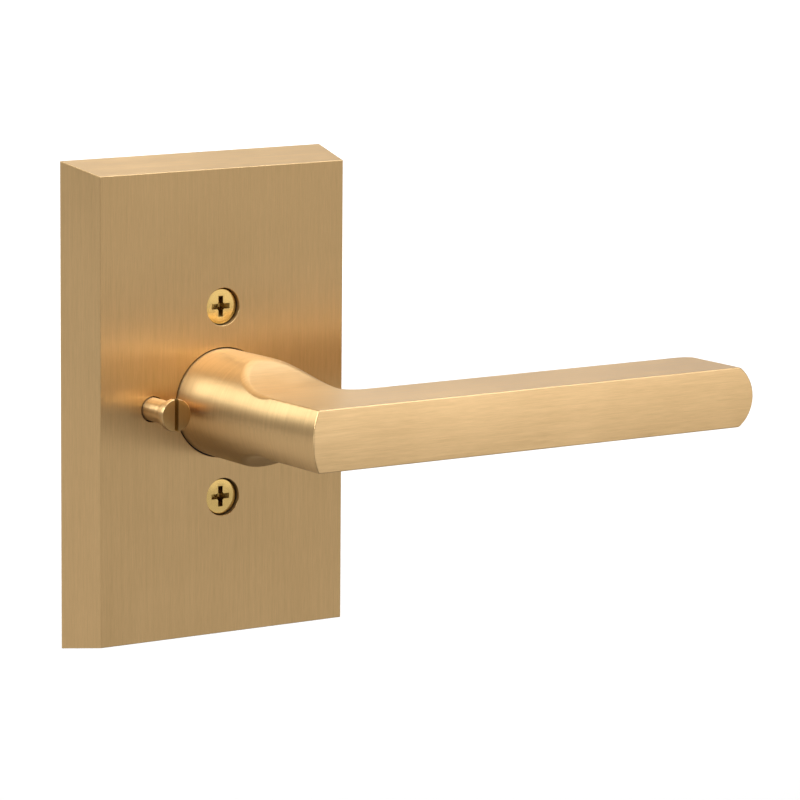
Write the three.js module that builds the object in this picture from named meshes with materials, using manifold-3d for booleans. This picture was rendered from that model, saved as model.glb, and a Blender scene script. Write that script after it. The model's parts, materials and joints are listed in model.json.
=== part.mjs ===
// Inside half of a tubular privacy lever lockset, in millimetres.
// The origin is where the lever's axis meets the face of the door. +X points along the lever,
// +Y points into the door and +Z points up, so everything that shows has a negative Y.
import * as THREE from "three";
import { mergeVertices } from "three/addons/utils/BufferGeometryUtils.js";
import Module from "manifold-3d";

const wasm = await Module();
wasm.setup();

// ---------------------------------------------------------------- driving dimensions

const GAP = 0.3; // clearance left between neighbouring pieces
const FINE = 56; // sides of the large round surfaces
const MEDIUM = 28; // sides of the rings and bushings
const COARSE = 16; // sides of the screws, rivets and small pins
const degrees = THREE.MathUtils.degToRad;

const ROSE = { width: 67, height: 108, depth: 13.3, rake: 2.25, frontWall: 2, sideWall: 2.4 };
const BOSS = { screwRadius: 6, cornerRadius: 3.4, pinInner: 3.9, pinOuter: 4.4, pinEndY: -7.8 };
const HUB = { radius: 12.05, recess: 0.7 };
const LEVER = {
  frontY: -67.7,
  backY: -48.6,
  halfHeight: 6.77,
  tipX: 105.2,
  tipRadius: 8.3,
  tipBackRound: 2.5,
  elbowRadius: 3.5,
  scoopRadius: 26,
  scoopEndY: -45.5,
};
const JOURNAL = { radius: 7.6, endY: -0.1, flatX: 6.6, flatStartY: -5.7 };
const JOURNAL_GROOVE = { radius: 6.85, fromY: -1.95, toY: -0.75 };
const RETAINER = { inner: 7.15, outer: 9.6, fromY: -1.7, toY: -1, mouthHalf: 2.2 };
const WASHER = { outer: 10.6, thickness: 0.4 };
const SPINDLE = { radius: 4.7, flatZ: 2, socketY: -26, endY: 40 };
const CROSS_PIN = { radius: 1.2, length: 14.4, y: -8.5 };
const CAGE = { radius: 13.3, wall: 1, holeRadius: 9.5, windowAngle: 17.5, windowEndY: -5.5 };
const EAR = { reach: 12.5, radius: 2.8, thickness: 0.9 };
const HUB_BUSHING = { sleeveRadius: 9.2, endGap: 0.4 };
const SPRING = { radius: 10.2, wireRadius: 0.55, turns: 2, legAngle: 13.3, legReach: 14, pitch: 1.2 };
const CAM = { radius: 10.4, thickness: 0.9, lugRadius: 12, lugThickness: 1, lugAngle: 9, lugFrontY: -9.6 };
const STOP = { nearEdge: 61.5, halfAngle: 2.5, inner: 10.9 }; // nearEdge is from the cam's lug at rest
const PLATE = { width: 58, height: 98, corner: 5, thickness: 1.2, backY: -2.7 };
const COLLAR = { radius: 25.9, wall: 1.3, reachY: 3, halfAngle: 20 };
const MOUNTING_SCREW = { z: 21.2, headRadius: 3.95, headY: -12.25, headHeight: 2.25, radius: 2.05, length: 50 };
const MOUNTING_RECESS = { span: 4.6, width: 1.1, depth: 1.5 };
const PLATE_SCREW = { x: 22, z: 42, headRadius: 2.7, headHeight: 1.3, radius: 1, tipY: -10 };
const PLATE_RECESS = { span: 2.8, width: 0.6, depth: 0.8 };
const RIVET = { radius: 1.2, headRadius: 2.2, headHeight: 0.8 };
const PIN = {
  x: -18.05,
  radius: 2.6,
  headRadius: 3.6,
  faceY: -23.3,
  rim: 1.4,
  flareEndY: -18.5,
  tailY: 1,
  travel: 5,
  slotWidth: 0.95,
  slotDepth: 1.5,
};
const PIN_BUSHING = { outer: 3.6, flange: 4.25, flangeFromY: -7.5, flangeToY: -6.7 };
const PIN_CLIP = { inner: 2.2, outer: 4.2, fromY: -2.35, toY: -1.65, mouthHalf: 1.3 };
const PIN_CLIP_GROOVE = { y: -2, radius: 1.9, width: 1.3 };
const ROD = { radius: 1.05, startY: -8, bladeY: 13, endY: 19, bladeHalf: 0.55 };
const DETENT = { wireRadius: 0.4, y: -4.8, z: 5, grooveRadius: 2, grooveWidth: 1.3, postRadius: 1.95 };

// ---------------------------------------------------------------- worked out from them

const roseFrontY = -ROSE.depth;
const roseWallY = roseFrontY + ROSE.frontWall;
const hubHoleRadius = HUB.radius + 0.45;
const hubSeatY = roseFrontY + HUB.recess;
const cageFrontY = roseWallY + GAP;
const plateFrontY = PLATE.backY - PLATE.thickness;
const cageRimY = plateFrontY - GAP;
const camBackY = plateFrontY - 0.6;
const camFrontY = camBackY - CAM.thickness;
const springBackY = camFrontY - 0.35 - SPRING.wireRadius;
const springFrontY = springBackY - SPRING.turns * SPRING.pitch - 0.2;
const bossEndY = plateFrontY - GAP;
const pinHoleRadius = PIN.radius + GAP;

// ---------------------------------------------------------------- solids

// A closed three.js geometry as a manifold solid.
function solidOf(geometry) {
  const bare = geometry.clone();
  bare.deleteAttribute("normal");
  bare.deleteAttribute("uv");
  const merged = mergeVertices(bare, 1e-4);
  const corners = merged.index.array;
  const triangles = [];
  for (let i = 0; i < corners.length; i += 3) {
    const [a, b, c] = corners.subarray(i, i + 3);
    if (a !== b && b !== c && c !== a) triangles.push(a, b, c);
  }
  return new wasm.Manifold(
    new wasm.Mesh({
      numProp: 3,
      vertProperties: merged.attributes.position.array,
      triVerts: new Uint32Array(triangles),
    }),
  );
}

function geometryOf(solid) {
  const { vertProperties, triVerts } = solid.getMesh();
  const geometry = new THREE.BufferGeometry();
  geometry.setAttribute("position", new THREE.BufferAttribute(vertProperties, 3));
  geometry.setIndex(new THREE.BufferAttribute(triVerts, 1));
  geometry.computeVertexNormals();
  return geometry;
}

// Turned about the Y axis through (x, z). The outline lists [radius, y] counter-clockwise.
function turned(outline, sides = MEDIUM, x = 0, z = 0) {
  const points = outline.map(([radius, y]) => new THREE.Vector2(radius, y));
  return solidOf(new THREE.LatheGeometry(points, sides).translate(x, 0, z));
}

function rod(radius, fromY, toY, sides = MEDIUM, x = 0, z = 0) {
  const outline = [[0, fromY], [radius, fromY], [radius, toY], [0, toY]];
  return turned(outline, sides, x, z);
}

function ring(inner, outer, fromY, toY, sides = MEDIUM, x = 0, z = 0) {
  const outline = [[inner, fromY], [outer, fromY], [outer, toY], [inner, toY], [inner, fromY]];
  return turned(outline, sides, x, z);
}

function block(fromX, toX, fromY, toY, fromZ, toZ) {
  const box = new THREE.BoxGeometry(toX - fromX, toY - fromY, toZ - fromZ);
  return solidOf(box.translate((fromX + toX) / 2, (fromY + toY) / 2, (fromZ + toZ) / 2));
}

function extruded(shape, depth, sides) {
  return new THREE.ExtrudeGeometry(shape, { depth, bevelEnabled: false, curveSegments: sides });
}

// The shape is drawn in X and Z.
function prismAlongY(shape, fromY, toY, sides = MEDIUM) {
  return solidOf(extruded(shape, toY - fromY, sides).rotateX(Math.PI / 2).translate(0, toY, 0));
}

// The shape is drawn in X and Y.
function prismAlongZ(shape, fromZ, toZ, sides = MEDIUM) {
  return solidOf(extruded(shape, toZ - fromZ, sides).translate(0, 0, fromZ));
}

// The shape is drawn in Y and Z.
function prismAlongX(shape, fromX, toX, sides = MEDIUM) {
  const axes = new THREE.Matrix4().makeBasis(
    new THREE.Vector3(0, 1, 0),
    new THREE.Vector3(0, 0, 1),
    new THREE.Vector3(1, 0, 0),
  );
  return solidOf(extruded(shape, toX - fromX, sides).applyMatrix4(axes).translate(fromX, 0, 0));
}

// A piece of a ring about the Y axis, its middle at an angle in degrees from +X towards +Z.
function sector(inner, outer, middle, halfAngle, fromY, toY) {
  const start = degrees(middle - halfAngle);
  const end = degrees(middle + halfAngle);
  const shape = new THREE.Shape();
  shape.absarc(0, 0, outer, start, end, false);
  shape.absarc(0, 0, inner, end, start, true);
  shape.closePath();
  return prismAlongY(shape, fromY, toY, 8);
}

// A flat-fronted block that narrows evenly from its back to its front.
function raked(width, height, backY, frontY, inset) {
  const box = new THREE.BoxGeometry(width, backY - frontY, height);
  const corners = box.attributes.position;
  for (let i = 0; i < corners.count; i += 1) {
    if (corners.getY(i) > 0) continue;
    corners.setX(i, corners.getX(i) - Math.sign(corners.getX(i)) * inset);
    corners.setZ(i, corners.getZ(i) - Math.sign(corners.getZ(i)) * inset);
  }
  return solidOf(box.translate(0, (backY + frontY) / 2, 0));
}

// A cross-shaped driver recess, its mouth at mouthY, for a screw that points to +Y or -Y.
function crossRecess({ span, width, depth }, mouthY, direction, x, z) {
  const [fromY, toY] = [mouthY - direction * 0.5, mouthY + direction * depth].sort((a, b) => a - b);
  const half = span / 2;
  const upright = block(x - width / 2, x + width / 2, fromY, toY, z - half, z + half);
  const level = block(x - half, x + half, fromY, toY, z - width / 2, z + width / 2);
  return upright.add(level);
}

// ---------------------------------------------------------------- rose

function screwBoss(z) {
  return rod(BOSS.screwRadius, roseWallY - 0.5, bossEndY, MEDIUM, 0, z);
}

function screwBore(z) {
  const seatY = MOUNTING_SCREW.headY + MOUNTING_SCREW.headHeight + GAP;
  const counterbore = rod(MOUNTING_SCREW.headRadius + 0.25, roseFrontY - 1, seatY, MEDIUM, 0, z);
  return counterbore.add(rod(MOUNTING_SCREW.radius + 0.35, seatY - 0.5, 1, COARSE, 0, z));
}

function rose() {
  const outer = raked(ROSE.width, ROSE.height, 0, roseFrontY, ROSE.rake);
  const cavityInset = (ROSE.rake * -roseWallY) / ROSE.depth;
  const cavityWidth = ROSE.width - 2 * ROSE.sideWall;
  const cavityHeight = ROSE.height - 2 * ROSE.sideWall;
  const mouth = block(-cavityWidth / 2, cavityWidth / 2, 0, 1, -cavityHeight / 2, cavityHeight / 2);
  const cavity = raked(cavityWidth, cavityHeight, 0.001, roseWallY, cavityInset).add(mouth);
  let body = outer.subtract(cavity);
  for (const z of [MOUNTING_SCREW.z, -MOUNTING_SCREW.z]) {
    body = body.add(screwBoss(z)).subtract(screwBore(z));
  }
  for (const x of [PLATE_SCREW.x, -PLATE_SCREW.x]) {
    for (const z of [PLATE_SCREW.z, -PLATE_SCREW.z]) {
      const boss = rod(BOSS.cornerRadius, roseWallY - 0.5, bossEndY, COARSE, x, z);
      const pilot = rod(PLATE_SCREW.radius + GAP, PLATE_SCREW.tipY - GAP, 1, COARSE, x, z);
      body = body.add(boss).subtract(pilot);
    }
  }
  const pinBoss = ring(BOSS.pinInner, BOSS.pinOuter, roseWallY - 0.3, BOSS.pinEndY, MEDIUM, PIN.x);
  const pinHole = rod(pinHoleRadius, roseFrontY - 1, roseWallY + 1, MEDIUM, PIN.x);
  const hubHole = rod(hubHoleRadius, roseFrontY - 1, roseWallY + 1, FINE);
  return body.add(pinBoss).subtract(pinHole).subtract(hubHole);
}

// ---------------------------------------------------------------- lever

// Half-height of the neck along Y: flat at the grip, then an arc that opens out to the hub.
function neckProfile() {
  const centreZ = LEVER.halfHeight + LEVER.scoopRadius;
  const topZ = HUB.radius + 1;
  const endAngle = Math.asin((topZ - centreZ) / LEVER.scoopRadius);
  const shape = new THREE.Shape();
  shape.moveTo(LEVER.frontY - 1, LEVER.halfHeight);
  shape.lineTo(LEVER.frontY - 1, -LEVER.halfHeight);
  shape.absarc(LEVER.scoopEndY, -centreZ, LEVER.scoopRadius, Math.PI / 2, -endAngle, true);
  shape.lineTo(hubSeatY + 1, -topZ);
  shape.lineTo(hubSeatY + 1, topZ);
  shape.absarc(LEVER.scoopEndY, centreZ, LEVER.scoopRadius, endAngle, -Math.PI / 2, true);
  shape.closePath();
  return shape;
}

// The grip seen from above, with its far back corner rounded.
function gripPlan() {
  const round = LEVER.tipBackRound;
  const shape = new THREE.Shape();
  shape.moveTo(0, LEVER.frontY);
  shape.lineTo(LEVER.tipX, LEVER.frontY);
  shape.absarc(LEVER.tipX - round, LEVER.backY - round, round, 0, Math.PI / 2, false);
  shape.lineTo(0, LEVER.backY);
  shape.closePath();
  return shape;
}

// The grip seen from the front, with its bowed end.
function gripOutline() {
  const centreX = LEVER.tipX - LEVER.tipRadius;
  const bow = Math.asin(LEVER.halfHeight / LEVER.tipRadius);
  const shape = new THREE.Shape();
  shape.moveTo(0, LEVER.halfHeight);
  shape.lineTo(0, -LEVER.halfHeight);
  shape.absarc(centreX, 0, LEVER.tipRadius, -bow, bow, false);
  shape.closePath();
  return shape;
}

// The concave round where the back of the grip meets the round hub.
function elbow() {
  const r = LEVER.elbowRadius;
  const outline = [[HUB.radius - 1, LEVER.backY - 1], [HUB.radius + r, LEVER.backY - 1]];
  for (let i = 0; i <= 8; i += 1) {
    const angle = (i / 8) * (Math.PI / 2);
    outline.push([HUB.radius + r - r * Math.sin(angle), LEVER.backY + r - r * Math.cos(angle)]);
  }
  outline.push([HUB.radius - 1, LEVER.backY + r], [HUB.radius - 1, LEVER.backY - 1]);
  const reach = HUB.radius + r + 1;
  const half = LEVER.halfHeight;
  return turned(outline, FINE).intersect(
    block(0, reach, LEVER.backY - 2, LEVER.backY + r + 1, -half, half),
  );
}

function spindleShape(growth) {
  const radius = SPINDLE.radius + growth;
  const flat = Math.asin((SPINDLE.flatZ + growth) / radius);
  const shape = new THREE.Shape();
  shape.absarc(0, 0, radius, -flat, Math.PI + flat, false);
  shape.closePath();
  return shape;
}

// The shaft behind the hub: two flats for the cam, and a groove for the retaining ring.
function journal() {
  const shaft = rod(JOURNAL.radius, hubSeatY - 0.5, JOURNAL.endY, MEDIUM);
  const { radius, fromY, toY } = JOURNAL_GROOVE;
  const groove = ring(radius, JOURNAL.radius + 1, fromY, toY, MEDIUM);
  const { flatX, flatStartY } = JOURNAL;
  const flats = block(flatX, 9, flatStartY, 1, -9, 9).add(block(-9, -flatX, flatStartY, 1, -9, 9));
  return shaft.subtract(groove).subtract(flats);
}

function crossHole() {
  const radius = CROSS_PIN.radius + GAP;
  const hole = new THREE.CylinderGeometry(radius, radius, 2 * JOURNAL.radius + 2, COARSE);
  return solidOf(hole.rotateX(Math.PI / 2).translate(0, CROSS_PIN.y, 0));
}

function lever() {
  const neck = rod(HUB.radius, LEVER.frontY, hubSeatY, FINE)
    .intersect(prismAlongX(neckProfile(), -HUB.radius - 1, HUB.radius + 1, 24));
  const grip = prismAlongZ(gripPlan(), -LEVER.halfHeight, LEVER.halfHeight, 8)
    .intersect(prismAlongY(gripOutline(), LEVER.frontY - 1, LEVER.backY + 1, 24));
  const socket = prismAlongY(spindleShape(GAP), SPINDLE.socketY, 1, COARSE);
  return neck.add(grip).add(elbow()).add(journal()).subtract(socket).subtract(crossHole());
}

function spindle() {
  const bar = prismAlongY(spindleShape(0), SPINDLE.socketY + GAP, SPINDLE.endY, COARSE);
  return bar.subtract(crossHole());
}

function crossPin() {
  const { radius, length, y } = CROSS_PIN;
  const bar = new THREE.CylinderGeometry(radius, radius, length, COARSE);
  return solidOf(bar.rotateX(Math.PI / 2).translate(0, y, 0));
}

function retainingRing() {
  const { inner, outer, fromY, toY, mouthHalf } = RETAINER;
  const mouth = block(-mouthHalf, mouthHalf, fromY - 1, toY + 1, 0, outer + 1);
  return ring(inner, outer, fromY, toY, MEDIUM).subtract(mouth);
}

function thrustWasher() {
  const fromY = PLATE.backY + GAP;
  return ring(JOURNAL.radius + GAP, WASHER.outer, fromY, fromY + WASHER.thickness, MEDIUM);
}

// The cam turns with the journal's flats. Its lug hangs between the two legs of the spring.
function driveCam() {
  const disc = rod(CAM.radius, camFrontY, camBackY, MEDIUM);
  const web = sector(CAM.radius - 1, CAM.lugRadius, -90, CAM.lugAngle, camFrontY, camBackY);
  const lugInner = CAM.lugRadius - CAM.lugThickness;
  const lug = sector(lugInner, CAM.lugRadius, -90, CAM.lugAngle, CAM.lugFrontY, camBackY);
  const flat = JOURNAL.flatX + GAP;
  const hole = rod(JOURNAL.radius + GAP, camFrontY - 1, camBackY + 1, MEDIUM)
    .intersect(block(-flat, flat, camFrontY - 1, camBackY + 1, -9, 9));
  return disc.add(web).add(lug).subtract(hole);
}

// ---------------------------------------------------------------- spring cage and its plate

class Helix extends THREE.Curve {
  getPoint(t, target = new THREE.Vector3()) {
    const start = degrees(-90 - SPRING.legAngle);
    const angle = start + t * degrees(360 * SPRING.turns + 2 * SPRING.legAngle);
    const y = springFrontY + t * (springBackY - springFrontY);
    return target.set(SPRING.radius * Math.cos(angle), y, SPRING.radius * Math.sin(angle));
  }
}

function circle(radius, sides) {
  const points = [];
  for (let i = 0; i < sides; i += 1) {
    const angle = (2 * Math.PI * i) / sides;
    points.push(new THREE.Vector2(radius * Math.cos(angle), radius * Math.sin(angle)));
  }
  return new THREE.Shape(points);
}

function springLeg(angle, y) {
  const length = SPRING.legReach - SPRING.radius;
  const leg = new THREE.CylinderGeometry(SPRING.wireRadius, SPRING.wireRadius, length, 12);
  leg.rotateZ(-Math.PI / 2).translate(SPRING.radius + length / 2, 0, 0);
  return solidOf(leg.rotateY(-degrees(angle)).translate(0, y, 0));
}

function returnSpring() {
  const coil = solidOf(
    new THREE.ExtrudeGeometry(circle(SPRING.wireRadius, 8), {
      steps: 48,
      extrudePath: new Helix(),
    }),
  );
  return coil
    .add(springLeg(-90 - SPRING.legAngle, springFrontY))
    .add(springLeg(-90 + SPRING.legAngle, springBackY));
}

function cageEar(side) {
  const { reach, radius, thickness } = EAR;
  const arm = new THREE.BoxGeometry(reach * Math.SQRT2, thickness, 2 * radius);
  arm.translate((reach * Math.SQRT2) / 2, cageRimY - thickness / 2, 0).rotateY(-Math.PI / 4);
  if (side < 0) arm.rotateY(Math.PI);
  const pad = rod(radius, cageRimY - thickness, cageRimY, COARSE, side * reach, side * reach);
  return solidOf(arm).add(pad);
}

function springCage() {
  const inner = CAGE.radius - CAGE.wall;
  let cup = rod(CAGE.radius, cageFrontY, cageRimY, FINE).add(cageEar(1)).add(cageEar(-1));
  cup = cup.subtract(rod(inner, cageFrontY + CAGE.wall, cageRimY + 1, FINE));
  cup = cup.subtract(rod(CAGE.holeRadius, cageFrontY - 1, cageRimY, MEDIUM));
  for (const side of [1, -1]) {
    const at = side * EAR.reach;
    cup = cup.subtract(rod(RIVET.radius + GAP, cageFrontY, cageRimY + 1, COARSE, at, at));
  }
  const windowStartY = cageFrontY + CAGE.wall;
  return cup.subtract(
    sector(inner - 1, CAGE.radius + 1, -90, CAGE.windowAngle, windowStartY, CAGE.windowEndY),
  );
}

function hubBushing() {
  const sleeve = HUB_BUSHING.sleeveRadius;
  const flange = hubHoleRadius - GAP;
  const bore = JOURNAL.radius + GAP;
  const endY = springBackY + HUB_BUSHING.endGap;
  return turned(
    [
      [bore, hubSeatY + GAP],
      [flange, hubSeatY + GAP],
      [flange, roseWallY],
      [sleeve, roseWallY],
      [sleeve, endY],
      [bore, endY],
      [bore, hubSeatY + GAP],
    ],
    MEDIUM,
  );
}

function cageRivet(side) {
  const at = side * EAR.reach;
  const frontY = cageRimY - EAR.thickness - GAP;
  const backY = PLATE.backY + GAP;
  const { radius, headRadius, headHeight } = RIVET;
  return turned(
    [
      [0, frontY - headHeight],
      [headRadius * 0.7, frontY - headHeight],
      [headRadius, frontY - headHeight * 0.4],
      [headRadius, frontY],
      [radius, frontY],
      [radius, backY],
      [headRadius, backY],
      [headRadius, backY + headHeight * 0.4],
      [headRadius * 0.7, backY + headHeight],
      [0, backY + headHeight],
    ],
    COARSE,
    at,
    at,
  );
}

function roundedRectangle(width, height, corner) {
  const shape = new THREE.Shape();
  const x = width / 2 - corner;
  const y = height / 2 - corner;
  shape.absarc(x, y, corner, 0, Math.PI / 2, false);
  shape.absarc(-x, y, corner, Math.PI / 2, Math.PI, false);
  shape.absarc(-x, -y, corner, Math.PI, 1.5 * Math.PI, false);
  shape.absarc(x, -y, corner, 1.5 * Math.PI, 2 * Math.PI, false);
  shape.closePath();
  return shape;
}

// The steel back plate: it closes the cage, stops the cam at each end of its swing, centres
// the lockset in the bore of the door with its collar, and carries the posts of the detent clip.
function mountingPlate() {
  const { width, height, corner, backY } = PLATE;
  let plate = prismAlongY(roundedRectangle(width, height, corner), plateFrontY, backY, 6);
  for (const angle of [45, 135, 225, 315]) {
    const inner = COLLAR.radius - COLLAR.wall;
    plate = plate.add(sector(inner, COLLAR.radius, angle, COLLAR.halfAngle, backY - 0.4, COLLAR.reachY));
  }
  for (const side of [1, -1]) {
    const middle = -90 + side * (STOP.nearEdge + STOP.halfAngle);
    const rootY = plateFrontY + 0.3;
    const postZ = side * (DETENT.z + 0.1);
    plate = plate.add(
      sector(STOP.inner, CAM.lugRadius, middle, STOP.halfAngle, camFrontY - 0.2, rootY),
    );
    plate = plate.add(rod(DETENT.postRadius, DETENT.y - 0.8, rootY, COARSE, PIN.x, postZ));
  }
  plate = plate.subtract(rod(JOURNAL.radius + 0.5, plateFrontY - 1, backY + 1, MEDIUM));
  plate = plate.subtract(rod(pinHoleRadius, plateFrontY - 1, backY + 1, COARSE, PIN.x));
  for (const side of [1, -1]) {
    const screwZ = side * MOUNTING_SCREW.z;
    const rivetAt = side * EAR.reach;
    plate = plate.subtract(rod(MOUNTING_SCREW.radius + 0.45, plateFrontY - 1, 0, COARSE, 0, screwZ));
    plate = plate.subtract(rod(RIVET.radius + GAP, plateFrontY - 1, 0, COARSE, rivetAt, rivetAt));
    for (const x of [PLATE_SCREW.x, -PLATE_SCREW.x]) {
      const hole = rod(PLATE_SCREW.radius + 0.6, plateFrontY - 1, 0, COARSE, x, side * PLATE_SCREW.z);
      plate = plate.subtract(hole);
    }
  }
  return plate;
}

// ---------------------------------------------------------------- screws

function mountingScrew(z) {
  const { headRadius, headY, headHeight, radius, length } = MOUNTING_SCREW;
  const seatY = headY + headHeight;
  const tipY = seatY + length;
  const body = turned(
    [
      [0, headY],
      [headRadius - 0.25, headY],
      [headRadius, headY + 0.25],
      [headRadius, seatY],
      [radius, seatY],
      [radius, tipY - 1],
      [radius - 0.7, tipY],
      [0, tipY],
    ],
    MEDIUM,
    0,
    z,
  );
  return body.subtract(crossRecess(MOUNTING_RECESS, headY, 1, 0, z));
}

function plateScrew(x, z) {
  const { headRadius, headHeight, radius, tipY } = PLATE_SCREW;
  const seatY = PLATE.backY + GAP;
  const crownY = seatY + headHeight;
  const body = turned(
    [
      [0, tipY],
      [0.3, tipY],
      [radius, tipY + 1.5],
      [radius, seatY],
      [headRadius, seatY],
      [headRadius, crownY - 0.6],
      [headRadius - 0.6, crownY],
      [0, crownY],
    ],
    COARSE,
    x,
    z,
  );
  return body.subtract(crossRecess(PLATE_RECESS, crownY, -1, x, z));
}

// ---------------------------------------------------------------- privacy pin

function notch(middleY, width, floorRadius) {
  return ring(floorRadius, PIN.radius + 1, middleY - width / 2, middleY + width / 2, MEDIUM, PIN.x);
}

// The button: a slotted head that flares out of a round shaft. The shaft has one groove for
// the clip that holds it in, and two for the detent, one for each end of its travel.
function privacyPin() {
  const { x, radius, headRadius, faceY, rim, flareEndY, tailY } = PIN;
  const outline = [[0, faceY], [headRadius - 0.15, faceY], [headRadius, faceY + 0.15]];
  const flareStartY = faceY + rim;
  const flareLength = flareEndY - flareStartY;
  for (let i = 0; i <= 6; i += 1) {
    const t = i / 6;
    const flareRadius = radius + (headRadius - radius) * (1 - t) ** 2;
    outline.push([flareRadius, flareStartY + t * flareLength]);
  }
  outline.push([radius, tailY - 0.3], [radius - 0.3, tailY], [0, tailY]);
  const slotHalf = PIN.slotWidth / 2;
  const slot = block(x - slotHalf, x + slotHalf, faceY - 1, faceY + PIN.slotDepth, -5, 5);
  return turned(outline, MEDIUM, x)
    .subtract(slot)
    .subtract(notch(DETENT.y, DETENT.grooveWidth, DETENT.grooveRadius))
    .subtract(notch(DETENT.y - PIN.travel, DETENT.grooveWidth, DETENT.grooveRadius))
    .subtract(notch(PIN_CLIP_GROOVE.y, PIN_CLIP_GROOVE.width, PIN_CLIP_GROOVE.radius))
    .subtract(rod(ROD.radius + GAP, ROD.startY - GAP, tailY + 1, COARSE, x));
}

function lockingRod() {
  const { radius, startY, bladeY, endY, bladeHalf } = ROD;
  const bar = rod(radius, startY, endY, COARSE, PIN.x);
  const beside = 5;
  const upper = block(PIN.x - beside, PIN.x + beside, bladeY, endY + 1, bladeHalf, beside);
  const lower = block(PIN.x - beside, PIN.x + beside, bladeY, endY + 1, -beside, -bladeHalf);
  return bar.subtract(upper).subtract(lower);
}

function pinClip() {
  const { inner, outer, fromY, toY, mouthHalf } = PIN_CLIP;
  const mouth = block(PIN.x - mouthHalf, PIN.x + mouthHalf, fromY - 1, toY + 1, 0, outer + 1);
  return ring(inner, outer, fromY, toY, MEDIUM, PIN.x).subtract(mouth);
}

function pinBushing() {
  const { outer, flange, flangeFromY, flangeToY } = PIN_BUSHING;
  return turned(
    [
      [pinHoleRadius, cageFrontY],
      [outer, cageFrontY],
      [outer, flangeFromY],
      [flange, flangeFromY],
      [flange, flangeToY],
      [pinHoleRadius, flangeToY],
      [pinHoleRadius, cageFrontY],
    ],
    MEDIUM,
    PIN.x,
  );
}

// A hairpin of spring wire whose legs snap into the grooves of the pin.
class Hairpin extends THREE.Curve {
  getPoint(t, target = new THREE.Vector3()) {
    const bend = DETENT.grooveRadius + DETENT.wireRadius + 0.25;
    const leg = 2 * DETENT.z;
    const arc = Math.PI * bend;
    const along = t * (2 * leg + arc);
    if (along < leg) return target.set(PIN.x + bend, DETENT.y, along - DETENT.z);
    if (along > leg + arc) return target.set(PIN.x - bend, DETENT.y, DETENT.z + leg + arc - along);
    const angle = (along - leg) / bend;
    return target.set(PIN.x + bend * Math.cos(angle), DETENT.y, DETENT.z + bend * Math.sin(angle));
  }
}

function detentClip() {
  return solidOf(
    new THREE.ExtrudeGeometry(circle(DETENT.wireRadius, 6), {
      steps: 32,
      extrudePath: new Hairpin(),
    }),
  );
}

// ---------------------------------------------------------------- assembly

function finish(color, roughness, metalness) {
  return new THREE.MeshStandardMaterial({ color, roughness, metalness });
}

const satinBrass = finish(0xb8935a, 0.38, 1);
const brightBrass = finish(0xc79a45, 0.28, 1);
const zincSteel = finish(0xb9bcc0, 0.35, 1);
const springSteel = finish(0x6d6f73, 0.3, 1);
const nylon = finish(0x1b1b1c, 0.55, 0);

const lockset = new THREE.Group();

function place(name, solid, material) {
  const mesh = new THREE.Mesh(geometryOf(solid), material);
  mesh.name = name;
  lockset.add(mesh);
}

place("rose", rose(), satinBrass);
place("mounting_plate", mountingPlate(), zincSteel);
place("spring_cage", springCage(), zincSteel);
place("hub_bushing", hubBushing(), nylon);
place("return_spring", returnSpring(), springSteel);
place("mounting_screw_upper", mountingScrew(MOUNTING_SCREW.z), brightBrass);
place("mounting_screw_lower", mountingScrew(-MOUNTING_SCREW.z), brightBrass);
[1, -1].forEach((side, i) => place(`cage_rivet_${i + 1}`, cageRivet(side), zincSteel));
const plateCorners = [[1, 1], [-1, 1], [-1, -1], [1, -1]];
plateCorners.forEach(([x, z], i) => {
  place(`plate_screw_${i + 1}`, plateScrew(x * PLATE_SCREW.x, z * PLATE_SCREW.z), zincSteel);
});

place("lever", lever(), satinBrass);
place("spindle", spindle(), zincSteel);
place("spindle_cross_pin", crossPin(), springSteel);
place("drive_cam", driveCam(), zincSteel);
place("thrust_washer", thrustWasher(), zincSteel);
place("retaining_ring", retainingRing(), springSteel);

place("privacy_pin", privacyPin(), satinBrass);
place("locking_rod", lockingRod(), zincSteel);
place("pin_clip", pinClip(), springSteel);
place("pin_bushing", pinBushing(), nylon);
place("detent_clip", detentClip(), springSteel);

export default lockset;
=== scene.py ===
import json
import math

import bmesh
import bpy
import numpy as np
from mathutils import Matrix, Vector
from mathutils.geometry import delaunay_2d_cdt


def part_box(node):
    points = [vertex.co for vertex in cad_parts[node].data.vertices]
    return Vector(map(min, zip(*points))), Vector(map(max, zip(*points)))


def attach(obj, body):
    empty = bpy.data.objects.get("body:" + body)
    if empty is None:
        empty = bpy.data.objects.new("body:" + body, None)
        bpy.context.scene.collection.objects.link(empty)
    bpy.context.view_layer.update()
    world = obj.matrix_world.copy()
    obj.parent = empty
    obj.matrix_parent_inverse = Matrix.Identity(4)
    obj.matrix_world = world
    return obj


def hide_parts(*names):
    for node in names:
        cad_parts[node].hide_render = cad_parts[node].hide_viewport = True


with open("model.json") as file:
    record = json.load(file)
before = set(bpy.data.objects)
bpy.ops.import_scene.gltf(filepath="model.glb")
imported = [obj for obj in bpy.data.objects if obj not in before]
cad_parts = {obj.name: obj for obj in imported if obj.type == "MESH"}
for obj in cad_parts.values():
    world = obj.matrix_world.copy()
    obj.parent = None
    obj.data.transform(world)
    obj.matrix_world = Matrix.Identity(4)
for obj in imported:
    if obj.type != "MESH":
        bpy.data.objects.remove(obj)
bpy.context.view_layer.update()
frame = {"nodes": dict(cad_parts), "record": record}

MM = 0.001
TAU = 2 * math.pi


def box_mm(node):
    """Lowest and highest corner of a CAD node, in millimetres."""
    low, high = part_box(node)
    return np.array(low) / MM, np.array(high) / MM


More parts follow.
